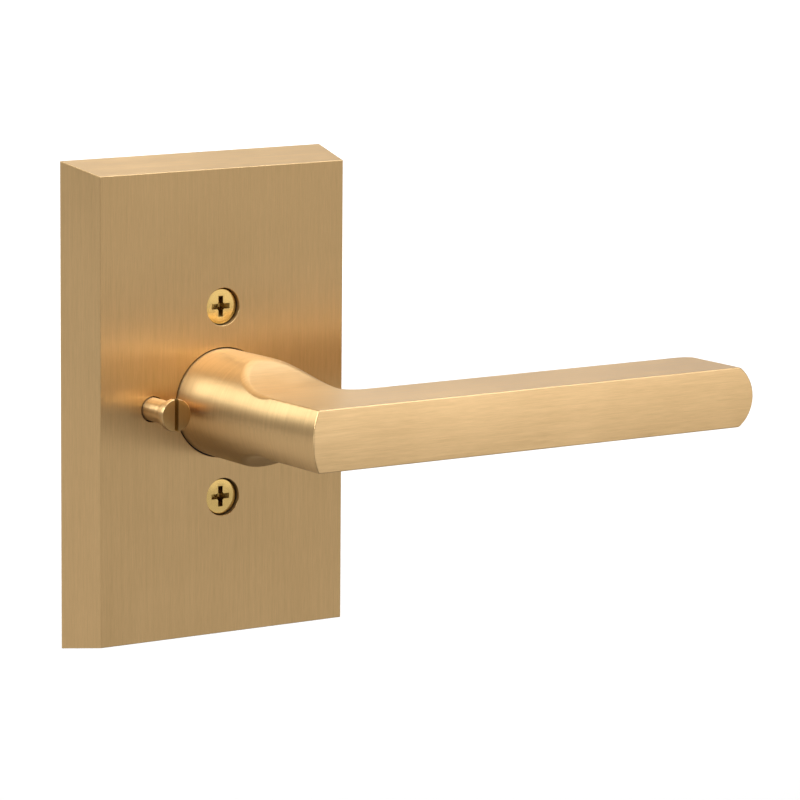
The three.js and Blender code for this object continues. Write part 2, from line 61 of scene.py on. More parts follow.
ROSE_LOW, ROSE_HIGH = box_mm("rose")
LEVER_LOW, LEVER_HIGH = box_mm("lever")
PIN_LOW, PIN_HIGH = box_mm("privacy_pin")
SCREW_LOW, SCREW_HIGH = box_mm("mounting_screw_upper")
PLATE_LOW, PLATE_HIGH = box_mm("mounting_plate")
PLATE_SCREW_LOW, PLATE_SCREW_HIGH = box_mm("plate_screw_1")

# Rose: a hollow casting whose four sides lean in towards its front.
ROSE_RAKE = 2.25
ROSE_WALL = 2.4
ROSE_FRONT_WALL = 2.0
ROSE_EDGE = 0.15
ROSE_RIM = 0.1
ROSE_CORNER = 0.1
ROSE_MOUTH = 0.12
CAVITY_CORNER = 1.0
BOSS_END = -4.2
SCREW_BORE = 4.2
SCREW_BORE_END = -9.7
SCREW_HOLE = 2.4
SCREW_BOSS = 6.0
CORNER_BOSS = 3.4
PILOT = 1.3
PILOT_END = -10.3
PIN_HOLE = 2.85
PIN_BOSS = (3.9, 4.4)
PIN_BOSS_END = -7.8

# Lever: a square bar on a round hub, scooped above and below where they meet.
HUB_RADIUS = LEVER_HIGH[2]
HUB_SEAT = ROSE_LOW[1] + 0.7
HUB_DRAFT = 0.13
HUB_DRAFT_START = -30.0
HUB_HOLE = HUB_RADIUS - HUB_DRAFT + 0.3
NECK_FLAT = 0.5
BAR_FRONT = LEVER_LOW[1]
BAR_BACK = -48.6
BAR_HALF = 6.77
BAR_TIP = LEVER_HIGH[0]
BOW_RADIUS = 8.3
TIP_ROUND = 2.2
ELBOW_ROUND = 3.5
FAN_END = 24.0
SCOOP_RADIUS = 26.0
SCOOP_END = -45.5
SCOOP_CREASE = 0.8
BAR_EDGE = 0.24
BAR_CROWN = 0.34
SEAT_EDGE = 0.25
JOURNAL = 7.6
JOURNAL_FLAT = 6.6
JOURNAL_FLAT_START = -5.7
JOURNAL_GROOVE = (6.85, -1.95, -0.75)
JOURNAL_END = LEVER_HIGH[1]
SOCKET_RADIUS = 5.0
SOCKET_FLAT = 2.3
SOCKET_END = -26.0
LEAST_SLOPE = 0.2

# Privacy pin: a slotted button that flares out of a round shaft.
PIN_X = (PIN_LOW[0] + PIN_HIGH[0]) / 2
PIN_FACE = PIN_LOW[1]
PIN_HEAD = (PIN_HIGH[0] - PIN_LOW[0]) / 2
PIN_SHAFT = 2.6
PIN_RIM = 1.4
PIN_FLARE_END = -18.5
PIN_TAIL = PIN_HIGH[1]
PIN_SLOT = (0.95, 1.5)
PIN_GROOVES = ((-9.8, 1.3, 2.0), (-4.8, 1.3, 2.0), (-2.0, 1.3, 1.9))
PIN_BORE = (1.35, -8.3)

# Through-screws with cross recesses.
SCREW_Z = (SCREW_LOW[2] + SCREW_HIGH[2]) / 2
SCREW_FACE = SCREW_LOW[1]
SCREW_HEAD = (SCREW_HIGH[0] - SCREW_LOW[0]) / 2
SCREW_HEAD_HEIGHT = 2.25
SCREW_TIP = SCREW_HIGH[1]
SCREW_SHANK = 2.05
SCREW_PLAIN = 3.0
SCREW_TAPER = 1.6
SCREW_CROSS = (4.75, 1.15, 2.0)
THREAD_PITCH = 0.794
THREAD_DEPTH = 0.4

# Steel back plate, its collar, stops and posts, and the small pieces that hold it.
PLATE_THICKNESS = 1.2
PLATE_CORNER = 5.0
PLATE_CENTRE_HOLE = 8.1
PLATE_SCREW_HOLES = (2.5, 1.5, 1.6)
PLATE_SCREW_AT = ((PLATE_SCREW_LOW + PLATE_SCREW_HIGH) / 2)[[0, 2]]
PLATE_SCREW_HEAD = 1.3
PLATE_SCREW_SHANK = 1.0
PLATE_SCREW_CROSS = (2.8, 0.62, 0.9)
COLLAR_INNER, COLLAR_OUTER = 24.6, 25.9
COLLAR_ANGLE = 20
COLLAR_STEP = 5.7
STOP_INNER, STOP_OUTER = 10.9, 12.0
STOP_ANGLE, STOP_HALF = 64.0, 2.5
POST_RADIUS, POST_Z, POST_HEIGHT = 1.95, 5.1, 1.7
RIVET_AT = 12.5
RIVET_SHANK = 1.2
RIVET_HEAD = 0.8
RING_RADII, RING_MOUTH = (7.15, 9.6), 2.2
WASHER_RADII = (7.9, 10.6)
CLIP_RADII, CLIP_MOUTH = (2.2, 4.2), 1.3
ROD_CHAMFER = 0.2
ROD_BLADE = 13.0
ROD_BLADE_HALF = 0.55


# ---------------- profiles

def rounded(corners, steps=5, closed=False):
    """A path through (a, b, radius) corners with each corner rounded: its points and tangents."""
    points, tangents = [], []
    places = [np.array(corner[:2], float) for corner in corners]
    count = len(places)
    for index, (place, corner) in enumerate(zip(places, corners)):
        at_start, at_end = index == 0 and not closed, index == count - 1 and not closed
        before = places[1] - place if at_start else place - places[index - 1]
        after = before if at_end else places[(index + 1) % count] - place
        before = before / np.linalg.norm(before)
        after = after / np.linalg.norm(after)
        turn = math.atan2(before[0] * after[1] - before[1] * after[0], before @ after)
        radius = corner[2]
        if abs(turn) < 1e-6 or radius == 0:
            points.append(place)
            tangents.append((before + after) / np.linalg.norm(before + after))
            continue
        start = place - before * radius * math.tan(abs(turn) / 2)
        side = math.copysign(1.0, turn)
        centre = start + side * radius * np.array([-before[1], before[0]])
        for step in range(steps + 1):
            angle = turn * step / steps
            spin = np.array([[math.cos(angle), -math.sin(angle)], [math.sin(angle), math.cos(angle)]])
            points.append(centre + spin @ (start - centre))
            tangents.append(spin @ before)
    return np.array(points), np.array(tangents)


def outline(corners, steps=5):
    """A closed counter-clockwise outline across X and Z, with the way each of its points faces."""
    points, tangents = rounded(corners, steps, closed=True)
    return points, np.stack([tangents[:, 1], -tangents[:, 0]], 1)


def rectangle(half_x, half_z, corner, steps=5):
    """The outline of a rounded rectangle."""
    quarters = ((1, 1), (-1, 1), (-1, -1), (1, -1))
    return outline([(x * half_x, z * half_z, corner) for x, z in quarters], steps)


def band(inner, outer, start, end, x=0.0, corner=0.25):
    """The outline of a strip bent round an axis along Y, between two angles in degrees."""
    length = math.radians(end - start) * inner
    steps = min(72, max(3, int(length / (1.5 * corner))))
    corners = []
    for radius, first, last in ((outer, start, end), (inner, end, start)):
        for number, angle in enumerate(np.radians(np.linspace(first, last, steps))):
            sharp = number in (0, steps - 1)
            corners.append((x + radius * math.cos(angle), radius * math.sin(angle), corner if sharp else 0))
    return outline(corners, 3)


def disc(radius, x=0.0, z=0.0, sides=80):
    """A circle's points across X and Z, with the way each faces."""
    angles = np.arange(sides) * TAU / sides
    ways = np.stack([np.cos(angles), np.sin(angles)], 1)
    return np.array([x, z]) + radius * ways, ways


def hole(radius, x=0.0, z=0.0, sides=40):
    """A round hole's points, with ways that face out of the metal, towards its middle."""
    points, ways = disc(radius, x, z, sides)
    return points, -ways


def crowded(count, sharpness):
    """Values from -1 to 1 that crowd towards both ends."""
    return np.tanh(sharpness * np.linspace(-1, 1, count + 1)) / math.tanh(sharpness)


def around(radii, angles, y, x=0.0, z=0.0):
    """Points at one depth, at angles and distances from an axis along Y."""
    return np.stack([x + radii * np.cos(angles), np.full_like(angles, y), z + radii * np.sin(angles)], 1)


def layer(places, ways, y, tangent):
    """An outline's points at one depth, with their normals on a wall that runs (outwards, deeper)."""
    outwards, deeper = tangent
    back = np.full(len(places), -outwards)
    points = np.stack([places[:, 0], np.full(len(places), y), places[:, 1]], 1)
    return points, np.stack([deeper * ways[:, 0], back, deeper * ways[:, 1]], 1)


def bare(points):
    """Points whose normals come from the faces round them."""
    return points, np.zeros_like(points)


def read(items, field, width=1, kind=float):
    """One field of all of a mesh's vertices, loops or faces, as an array."""
    values = np.empty(len(items) * width, kind)
    items.foreach_get(field, values)
    return values.reshape(-1, width) if width > 1 else values


def place_object(name, data):
    thing = bpy.data.objects.new(name, data)
    bpy.context.scene.collection.objects.link(thing)
    return thing


def face_outwards(mesh):
    work = bmesh.new()
    work.from_mesh(mesh)
    bmesh.ops.recalc_face_normals(work, faces=work.faces)
    work.to_mesh(mesh)
    work.free()


class Shell:
    """The points, normals and faces of one closed surface, in millimetres."""

    def __init__(self):
        self.points, self.normals, self.faces = [], [], []

    def loop(self, points, normals):
        first = len(self.points)
        self.points.extend(map(tuple, points))
        self.normals.extend(map(tuple, normals))
        return list(range(first, len(self.points)))

    def bridge(self, one, other):
        count = len(one)
        for i in range(count):
            j = (i + 1) % count
            self.faces.append((one[i], one[j], other[j], other[i]))

    def fan(self, loop, centre, normal):
        middle = self.loop([centre], [normal])[0]
        for i, corner in enumerate(loop):
            self.faces.append((corner, loop[(i + 1) % len(loop)], middle))

    def fill(self, rim, holes):
        """Flat triangles between a rim and the holes inside it, across X and Z."""
        loops = [rim, *holes]
        corners = [corner for loop in loops for corner in loop]
        owner = [number for number, loop in enumerate(loops) for _ in loop]
        flat = [Vector((self.points[c][0], self.points[c][2])) for c in corners]
        edges, first = [], 0
        for loop in loops:
            edges.extend((first + i, first + (i + 1) % len(loop)) for i in range(len(loop)))
            first += len(loop)
        _, _, triangles, origins, _, _ = delaunay_2d_cdt(flat, edges, [], 1, 1e-6)
        for triangle in triangles:
            sources = [origins[corner][0] for corner in triangle]
            owners = {owner[source] for source in sources}
            if owners == {0} or len(owners) > 1:
                self.faces.append(tuple(corners[source] for source in sources))

    def skin(self, rings, start=None):
        """Joins rings of (points, normals) in turn, on from a loop if given. Returns both end loops."""
        loops = [self.loop(points, normals) for points, normals in rings]
        if start:
            loops.insert(0, start)
        for one, other in zip(loops, loops[1:]):
            self.bridge(one, other)
        return loops[0], loops[-1]

    def revolve(self, corners, turn, sides, x=0.0, z=0.0, steps=5):
        """Turns a rounded (radius, y) path about an axis along Y. Returns its first and last loops.

        The sign of turn says which side of the path is outside.
        """
        angles = np.arange(sides) * TAU / sides
        rings = []
        for (radius, y), (along_r, along_y) in zip(*rounded(corners, steps)):
            normals = around(turn * -along_y, angles, turn * along_r)
            rings.append((around(radius, angles, y, x, z), normals))
        return self.skin(rings)

    def turned(self, corners, sides, x, z, steps=5, turn=-1):
        """A turned solid, from a path that starts and ends close to its axis."""
        start, end = corners[0][1], corners[-1][1]
        first, last = self.revolve(corners, turn, sides, x, z, steps)
        way = math.copysign(1.0, end - start)
        self.fan(first, (x, start, z), (0, -way, 0))
        self.fan(last, (x, end, z), (0, way, 0))

    def slab(self, outlines, front, back, edge, steps=3):
        """A flat piece between two Y planes, with rounded rims. Its outer outline comes first."""
        inset = -1.5 * edge
        path = rounded([(inset, front, 0), (0, front, edge), (0, back, edge), (inset, back, 0)], steps)
        ends = []
        for places, ways in outlines:
            rings = [layer(places + grow * ways, ways, y, tangent) for (grow, y), tangent in zip(*path)]
            ends.append(self.skin(rings))
        self.fill(ends[0][0], [first for first, _ in ends[1:]])
        self.fill(ends[0][1], [last for _, last in ends[1:]])

    def mesh(self, name, grain, own_normals=True):
        """The surface as a Blender mesh in metres, its faces turned outwards."""
        mesh = bpy.data.meshes.new(name)
        mesh.from_pydata([tuple(c * MM for c in point) for point in self.points], [], self.faces)
        face_outwards(mesh)
        mesh.shade_smooth()
        lay_grain(mesh, grain)
        if own_normals:
            mesh.normals_split_custom_set_from_vertices([Vector(n).normalized() for n in self.normals])
        return mesh


# ---------------- brushing direction

def lay_grain(mesh, grain):
    """A UV map in millimetres: U runs across the grooves of the brushing and V runs along them."""
    vertex = read(mesh.loops, "vertex_index", kind=int)
    places = read(mesh.vertices, "co", 3) / MM
    sizes = read(mesh.polygons, "loop_total", kind=int)
    face = np.repeat(np.arange(len(sizes)), sizes)
    centres = read(mesh.polygons, "center", 3) / MM
    normals = read(mesh.polygons, "normal", 3)
    u, v = grain(places[vertex], centres[face], normals[face])
    uv_map = mesh.uv_layers.get("grain") or mesh.uv_layers.new(name="grain")
    uv_map.uv.foreach_set("vector", np.stack([u, v], 1).astype(np.float32).ravel())


def turned_grain(x, z):
    """Grooves run round an axis along Y, as a lathe leaves them."""
    def grain(points, centres, normals):
        middle = np.arctan2(centres[:, 2] - z, centres[:, 0] - x)
        angle = np.arctan2(points[:, 2] - z, points[:, 0] - x)
        swing = np.angle(np.exp(1j * (angle - middle)))
        radius = np.hypot(points[:, 0] - x, points[:, 2] - z)
        mean = np.hypot(centres[:, 0] - x, centres[:, 2] - z)
        across = np.where(np.abs(normals[:, 1]) > 0.7, radius, points[:, 1])
        return across, mean * (middle + swing)
    return grain


def rose_grain(points, centres, normals):
    """Grooves run up the front and the sides, and along the top and bottom edges."""
    x, y, z = points.T
    front, side = np.abs(normals[:, 1]) > 0.7, np.abs(normals[:, 0]) > 0.7
    across = np.where(front, x, y + np.where(side, 40.0, 80.0))
    return across, np.where(front | side, z, x)


def plain_grain(points, centres, normals):
    """Grooves run up the piece."""
    x, y, z = points.T
    side = np.abs(normals[:, 0]) > 0.7
    return np.where(side, y, x), z


def bar_grain(points, centres, normals):
    """Grooves run along Y."""
    x, y, z = points.T
    return np.where(np.abs(normals[:, 2]) > 0.7, x, z), y


def lever_grain(points, centres, normals):
    """Grooves run along the bar and over the scoops, and round the hub."""
    x, y, z = points.T
    round_grain = turned_grain(0.0, 0.0)(points, centres, normals)
    reach = HUB_RADIUS - np.hypot(centres[:, 0], centres[:, 2])
    hub = np.abs(reach) < SCOOP_CREASE / 2
    hub = hub | (centres[:, 0] < 0) & (reach > 0) & (reach < NECK_FLAT + SCOOP_CREASE / 4)
    radial = (normals[:, 0] * centres[:, 0] + normals[:, 2] * centres[:, 2]) / HUB_RADIUS > 0.85
    behind = centres[:, 1] > HUB_SEAT - SEAT_EDGE
    hub = hub & radial | behind
    flat = np.abs(normals[:, 2]) > 0.7
    tip = (normals[:, 0] > 0.6) & (centres[:, 0] > BAR_TIP / 2)
    across = np.where(flat, y + 30.0, z)
    along = np.where(tip, y, x)
    return np.where(hub, round_grain[0], across), np.where(hub, round_grain[1], along)


# ---------------- pieces

def coat(mesh, *finishes):
    for finish in finishes:
        mesh.materials.append(FINISHES[finish])


def add_object(name, mesh, body, slot, *nodes):
    """A piece that rides on a body and stands for CAD nodes, in its slot's finish unless coated."""
    piece = place_object(name, mesh)
    if not mesh.materials:
        coat(mesh, slot)
    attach(piece, body)
    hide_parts(*nodes)
    return piece


def carved(mesh, cutters, grain, finish, cut_shade_finish):
    """The mesh with each cutter mesh cut away from it, and its cut faces in a darker finish of their own:
    painted shade in the hollows.
    """
    coat(mesh, finish)
    piece = place_object("carving", mesh)
    tools = []
    for cutter in cutters:
        coat(cutter, cut_shade_finish)
        tool = place_object("cutter", cutter)
        cut = piece.modifiers.new("cut", "BOOLEAN")
        cut.operation = "DIFFERENCE"
        cut.solver = "EXACT"
        cut.material_mode = "TRANSFER"
        cut.object = tool
        tools.append(tool)
    ready = piece.evaluated_get(bpy.context.evaluated_depsgraph_get())
    result = bpy.data.meshes.new_from_object(ready)
    for thing in (piece, *tools):
        bpy.data.objects.remove(thing)
    lay_grain(result, grain)
    return result


def soften(piece, width, angle):
    """Rounds a piece's sharp edges and smooths the shading between them."""
    bevel = piece.modifiers.new("edges", "BEVEL")
    bevel.width = width * MM
    bevel.segments = 2
    bevel.limit_method = "ANGLE"
    bevel.angle_limit = math.radians(angle)
    bevel.harden_normals = True
    piece.data.shade_smooth()
    piece.data.set_sharp_from_angle(angle=math.radians(angle))


# ---------------- rose

def rose_walls(shell):
    """The front edge, leaning sides, back rim and cavity walls. Returns its front and floor loops."""
    front, floor = ROSE_LOW[1], ROSE_LOW[1] + ROSE_FRONT_WALL
    cavity_rake = ROSE_RAKE * floor / front
    corners = [
        (-ROSE_RAKE - 3 * ROSE_EDGE, front, 0),
        (-ROSE_RAKE, front, ROSE_EDGE),
        (0, 0, ROSE_RIM),
        (-ROSE_WALL, 0, ROSE_RIM),
        (-ROSE_WALL - cavity_rake, floor, CAVITY_CORNER / 2),
        (-ROSE_WALL - cavity_rake - CAVITY_CORNER, floor, 0),
    ]
    rings = []
    for (grow, y), tangent in zip(*rounded(corners)):
        inside = grow < -ROSE_WALL + ROSE_RIM and y > front + ROSE_EDGE
        corner = CAVITY_CORNER if inside else ROSE_CORNER
        places, ways = rectangle(ROSE_HIGH[0] + grow, ROSE_HIGH[2] + grow, corner)
        rings.append(layer(places, ways, y, tangent))
    return shell.skin(rings)


def make_rose():
    shell = Shell()
    front_y, floor_y = ROSE_LOW[1], ROSE_LOW[1] + ROSE_FRONT_WALL
    front, floor = rose_walls(shell)
    hub = [(HUB_HOLE + 0.5, front_y, 0), (HUB_HOLE, front_y, ROSE_MOUTH),
           (HUB_HOLE, floor_y, ROSE_MOUTH), (HUB_HOLE + 0.5, floor_y, 0)]
    inner, outer = PIN_BOSS
    pin = [(PIN_HOLE + 0.4, front_y, 0), (PIN_HOLE, front_y, ROSE_MOUTH),
           (PIN_HOLE, floor_y, ROSE_MOUTH), (inner, floor_y, 0.1), (inner, PIN_BOSS_END, 0.1),
           (outer, PIN_BOSS_END, 0.1), (outer, floor_y, 0.1), (outer + 0.3, floor_y, 0)]
    bore = [(SCREW_BORE + 0.4, front_y, 0), (SCREW_BORE, front_y, ROSE_MOUTH),
            (SCREW_BORE, SCREW_BORE_END, 0.1), (SCREW_HOLE, SCREW_BORE_END, 0.1),
            (SCREW_HOLE, BOSS_END, 0.2), (SCREW_BOSS, BOSS_END, 0.3),
            (SCREW_BOSS, floor_y, 0.4), (SCREW_BOSS + 0.8, floor_y, 0)]
    ends = [shell.revolve(hub, 1, 128, steps=3), shell.revolve(pin, 1, 64, x=PIN_X, steps=3)]
    ends += [shell.revolve(bore, 1, 80, z=z, steps=3) for z in (SCREW_Z, -SCREW_Z)]
    front_holes, floor_holes = map(list, zip(*ends))

    boss = [(0.2, PILOT_END, 0), (PILOT, PILOT_END, 0.1), (PILOT, BOSS_END, 0.15),
            (CORNER_BOSS, BOSS_END, 0.25), (CORNER_BOSS, floor_y, 0.4), (CORNER_BOSS + 0.8, floor_y, 0)]
    for side_x in (1, -1):
        for side_z in (1, -1):
            x, z = (side_x, side_z) * PLATE_SCREW_AT
            bottom, last = shell.revolve(boss, 1, 40, x=x, z=z, steps=3)
            shell.fan(bottom, (x, PILOT_END, z), (0, 1, 0))
            floor_holes.append(last)

    shell.fill(front, front_holes)
    shell.fill(floor, floor_holes)
    mesh = shell.mesh("rose_cover", rose_grain)
    coat(mesh, "satin_brass", "cast_brass")
    for face in mesh.polygons:
        x, y, z = (abs(c) / MM for c in face.center)
        lean = ROSE_RAKE * y / abs(front_y)
        outside = x > ROSE_HIGH[0] - lean - 0.5 or z > ROSE_HIGH[2] - lean - 0.5
        if not outside and ROSE_RIM < y < abs(front_y) - ROSE_EDGE:
            face.material_index = 1
    add_object("rose_cover", mesh, "rose_assembly", "satin_brass", "rose")


# ---------------- lever

def rounded_max(a, b, radius):
    """Where both distances are negative, with the edge between them rounded."""
    over_a, over_b = np.maximum(a + radius, 0), np.maximum(b + radius, 0)
    return np.hypot(over_a, over_b) - radius + np.minimum(np.maximum(a + radius, b + radius), 0)


def rounded_min(a, b, radius):
    """Where either distance is negative, with the inside corner between them filled."""
    return -rounded_max(-a, -b, radius)


def tip_x(z):
    """How far the bowed end of the bar reaches at a height."""
    return BAR_TIP - BOW_RADIUS + np.sqrt(np.maximum(BOW_RADIUS ** 2 - z ** 2, 1.0))


def lever_distance(points):
    """How far points lie outside the hub and bar, negative inside."""
    x, y, z = points.T
    height = np.abs(z)
    scoop = SCOOP_RADIUS - np.hypot(y - SCOOP_END, height - BAR_HALF - SCOOP_RADIUS)
    level = np.where(y > SCOOP_END, scoop, height - BAR_HALF)
    steepness = np.sqrt(np.maximum(BOW_RADIUS ** 2 - z ** 2, 1.0)) / BOW_RADIUS
    end = (x - tip_x(z)) * steepness
    bar = np.maximum(rounded_max(y - BAR_BACK, end, TIP_ROUND), -x)
    taper = np.clip((y - HUB_DRAFT_START) / (HUB_SEAT - HUB_DRAFT_START), 0, 1)
    forward = np.clip((BAR_BACK - y) / (BAR_BACK - BAR_FRONT), 0, 1)
    belly = np.clip(((x / HUB_RADIUS) ** 2 - 1) / (BAR_HALF / HUB_RADIUS) ** 2 + 1, 0, 1) * (x < 0)
    hub = np.hypot(x, z) - HUB_RADIUS + HUB_DRAFT * taper ** 2 + NECK_FLAT * forward * belly
    plan = rounded_min(hub, bar, ELBOW_ROUND)
    share = np.clip((y - BAR_BACK) / (SCOOP_END - BAR_BACK), 0, 1)
    crease = BAR_EDGE + (SCOOP_CREASE - BAR_EDGE) * share * share * (3 - 2 * share)
    sides = rounded_max(level, plan, crease)
    front = BAR_FRONT + BAR_CROWN * (z / BAR_HALF) ** 2 - y
    return rounded_max(rounded_max(sides, front, BAR_EDGE), y - HUB_SEAT, SEAT_EDGE)


def gradient(points, step=1e-3):
    slopes = []
    for axis in range(3):
        shift = np.zeros(3)
        shift[axis] = step
        slopes.append((lever_distance(points + shift) - lever_distance(points - shift)) / (2 * step))
    return np.stack(slopes, 1)


def settle(points):
    """Moves points onto the lever's surface. Returns them with their normals."""
    for _ in range(8):
        slope = gradient(points)
        length = np.maximum((slope ** 2).sum(1), LEAST_SLOPE)
        points = points - (lever_distance(points) / length)[:, None] * slope
    slope = gradient(points)
    return points, slope / np.linalg.norm(slope, axis=1)[:, None]


def top_of(x, y):
    """Height of the lever's upper surface before its edges are rounded."""
    reach = np.sqrt(np.maximum(HUB_RADIUS ** 2 - x ** 2, 0.0))
    sag = np.sqrt(np.maximum(SCOOP_RADIUS ** 2 - (y - SCOOP_END) ** 2, 0.0))
    scooped = np.where(y - SCOOP_END < SCOOP_RADIUS, BAR_HALF + SCOOP_RADIUS - sag, HUB_RADIUS)
    return np.where(y > SCOOP_END, np.minimum(reach, scooped), BAR_HALF)


def hub_left(z):
    return -np.sqrt(HUB_RADIUS ** 2 - z ** 2)


def elbow_end(z):
    return np.sqrt((HUB_RADIUS + ELBOW_ROUND) ** 2 - z ** 2)


def fan_end(z):
    """Where the rows that swing round the elbow have come square to the bar."""
    return np.full_like(z, FAN_END)


def round_start(z):
    return tip_x(z) - TIP_ROUND


def neck_side(side, y):
    """On the hub, to its right or left."""
    return lambda z: (side * np.sqrt(HUB_RADIUS ** 2 - z ** 2), np.full_like(z, y))


def elbow_side(angle):
    """On the inside round between hub and bar: a right angle on the hub, 0 on the bar."""
    reach = HUB_RADIUS + ELBOW_ROUND * (1 - math.sin(angle))
    y = BAR_BACK + ELBOW_ROUND * (1 - math.cos(angle))
    return lambda z: (np.sqrt(reach ** 2 - z ** 2), np.full_like(z, y))


def between(share, start, end, y):
    """On the bar's front or back, part of the way between two functions of height."""
    return lambda z: (start(z) + share * (end(z) - start(z)), np.full_like(z, y))


def tip_side(angle):
    """On the round between the bar's back and its end."""
    def side(z):
        x = tip_x(z) - TIP_ROUND * (1 - math.sin(angle))
        return x, np.full_like(z, BAR_BACK - TIP_ROUND * (1 - math.cos(angle)))
    return side


def lever_rows():
    """Pairs of (inner side, outer side) along the lever, from the hub's seat to the bar's tip."""
    rows = []
    base = HUB_SEAT - np.array([0, 0.06, 0.12, 0.19, 0.3, 0.5, 0.9])
    straight = np.linspace(base[-1] - 0.9, -28, 15)
    scooped = np.arange(-28.3, BAR_BACK + ELBOW_ROUND, -0.3)
    for y in (*base, *straight, *scooped):
        rows.append((neck_side(1, y), neck_side(-1, y)))

    start = scooped[-1]
    along = np.concatenate([np.linspace(0, 0.93, 34), [0.95, 0.965, 0.976, 0.984, 0.99, 0.995, 1]])
    for share in along[1:]:
        outer = neck_side(-1, start + share * (BAR_FRONT - start))
        rows.append((elbow_side(math.pi / 2 - share * math.pi / 4), outer))

    elbow_share = 0.4
    along = np.concatenate([[0.003, 0.006, 0.01, 0.015, 0.022, 0.032, 0.05], np.linspace(0.075, 1, 30)])
    for share in along:
        inner = elbow_side(math.pi / 4 * (1 - share / elbow_share))
        if share >= elbow_share:
            inner = between((share - elbow_share) / (1 - elbow_share), elbow_end, fan_end, BAR_BACK)
        rows.append((inner, between(share, hub_left, fan_end, BAR_FRONT)))

    for share in np.linspace(0, 1, 46)[1:]:
        rows.append([between(share, fan_end, round_start, y) for y in (BAR_BACK, BAR_FRONT)])

    for share in np.linspace(0, 1, 15)[1:]:
        reach = 1 - (1 - share) ** 1.7
        rows.append((tip_side(share * math.pi / 2), between(reach, round_start, tip_x, BAR_FRONT)))
    return rows


def make_lever():
    heights = BAR_HALF * crowded(26, 2.0)
    across = (1 + crowded(84, 1.25)) / 2
    top_z = np.array([BAR_HALF])
    rings = []
    for inner, outer in lever_rows():
        inner_x, inner_y = inner(heights)
        outer_x, outer_y = outer(heights)
        from_x, from_y = (value[0] for value in inner(top_z))
        to_x, to_y = (value[0] for value in outer(top_z))
        cross_x = from_x + across[1:-1] * (to_x - from_x)
        cross_y = from_y + across[1:-1] * (to_y - from_y)
        cross_z = top_of(cross_x, cross_y)
        rings.append(np.concatenate([
            np.stack([inner_x, inner_y, heights], 1),
            np.stack([cross_x, cross_y, cross_z], 1),
            np.stack([outer_x, outer_y, heights], 1)[::-1],
            np.stack([cross_x, cross_y, -cross_z], 1)[::-1],
        ]))
    # The bar's end lies between the two sides of the last row.
    end = []
    for share in across[1:-1]:
        middle_x = inner_x + share * (outer_x - inner_x)
        middle_y = inner_y + share * (outer_y - inner_y)
        end.append(np.stack([middle_x, middle_y, heights], 1)[1:-1])
    surface, normals = settle(np.concatenate([*rings, *end]))

    shell = Shell()
    rest = sum(map(len, rings))
    sizes = (len(rings), -1, 3)
    seat, tip = shell.skin(zip(surface[:rest].reshape(sizes), normals[:rest].reshape(sizes)))
    inside = shell.loop(surface[rest:], normals[rest:])
    close_tip(shell, tip, inside, len(heights), len(across))
    exposed = len(shell.points)
    make_journal(shell, seat)
    mesh = shell.mesh("lever_handle", lever_grain, own_normals=False)
    mesh.set_sharp_from_angle(angle=math.radians(30))
    vertex = read(mesh.loops, "vertex_index", kind=int)
    shown = vertex < exposed
    own = np.zeros((len(vertex), 3))
    own[shown] = np.array(shell.normals)[vertex[shown]]
    mesh.normals_split_custom_set(own.tolist())
    add_object("lever_handle", mesh, "lever_assembly", "satin_brass", "lever")


def close_tip(shell, ring, inside, tall, wide):
    """Closes the bar's end with a grid that meets the last ring on all four sides."""
    grid = np.empty((wide, tall), int)
    grid[0] = ring[:tall]
    grid[1:-1, -1] = ring[tall:tall + wide - 2]
    grid[-1] = ring[tall + wide - 2:2 * tall + wide - 2][::-1]
    grid[1:-1, 0] = ring[2 * tall + wide - 2:][::-1]
    grid[1:-1, 1:-1] = np.array(inside).reshape(wide - 2, tall - 2)
    for i in range(wide - 1):
        for j in range(tall - 1):
            corners = grid[i, j], grid[i + 1, j], grid[i + 1, j + 1], grid[i, j + 1]
            shell.faces.append(tuple(int(corner) for corner in corners))


def make_journal(shell, ring):
    """The shaft behind the hub, with its flats, ring groove and the spindle's socket."""
    angles = np.array([math.atan2(shell.points[i][2], shell.points[i][0]) for i in ring])

    def plain(radius):
        return np.full_like(angles, radius)

    def flatted(radius):
        return np.minimum(radius, JOURNAL_FLAT / np.maximum(np.abs(np.cos(angles)), 1e-3))

    def socket(radius, flat):
        below = np.maximum(-np.sin(angles), 1e-3)
        return np.minimum(radius, flat / below)

    groove, groove_start, groove_end = JOURNAL_GROOVE
    chamfer = 0.25
    stations = [
        (plain(HUB_RADIUS - 2 * SEAT_EDGE), HUB_SEAT),
        (plain(JOURNAL), HUB_SEAT),
        (plain(JOURNAL), JOURNAL_FLAT_START),
        (flatted(JOURNAL), JOURNAL_FLAT_START),
        (flatted(JOURNAL), groove_start),
        (flatted(groove), groove_start),
        (flatted(groove), groove_end),
        (flatted(JOURNAL), groove_end),
        (flatted(JOURNAL), JOURNAL_END - chamfer),
        (flatted(JOURNAL) - chamfer, JOURNAL_END),
        (socket(SOCKET_RADIUS + chamfer, SOCKET_FLAT + chamfer), JOURNAL_END),
        (socket(SOCKET_RADIUS, SOCKET_FLAT), JOURNAL_END - chamfer),
        (socket(SOCKET_RADIUS, SOCKET_FLAT), SOCKET_END),
    ]
    _, last = shell.skin([bare(around(radii, angles, y)) for radii, y in stations], ring)
    shell.fan(last, (0, SOCKET_END, 0), (0, 1, 0))


# ---------------- privacy pin and screws

def block_mesh(corners_low, corners_high):
    """A cutter with a rectangle at each end: (x0, x1, z0, z1, y) for one end and the other."""
    points = []
    for x0, x1, z0, z1, y in (corners_low, corners_high):
        points += [(x0, y, z0), (x1, y, z0), (x1, y, z1), (x0, y, z1)]
    faces = [(0, 1, 2, 3), (7, 6, 5, 4), (0, 4, 5, 1), (1, 5, 6, 2), (2, 6, 7, 3), (3, 7, 4, 0)]
    mesh = bpy.data.meshes.new("cutter")
    mesh.from_pydata([tuple(c * MM for c in point) for point in points], [], faces)
    face_outwards(mesh)
    return mesh


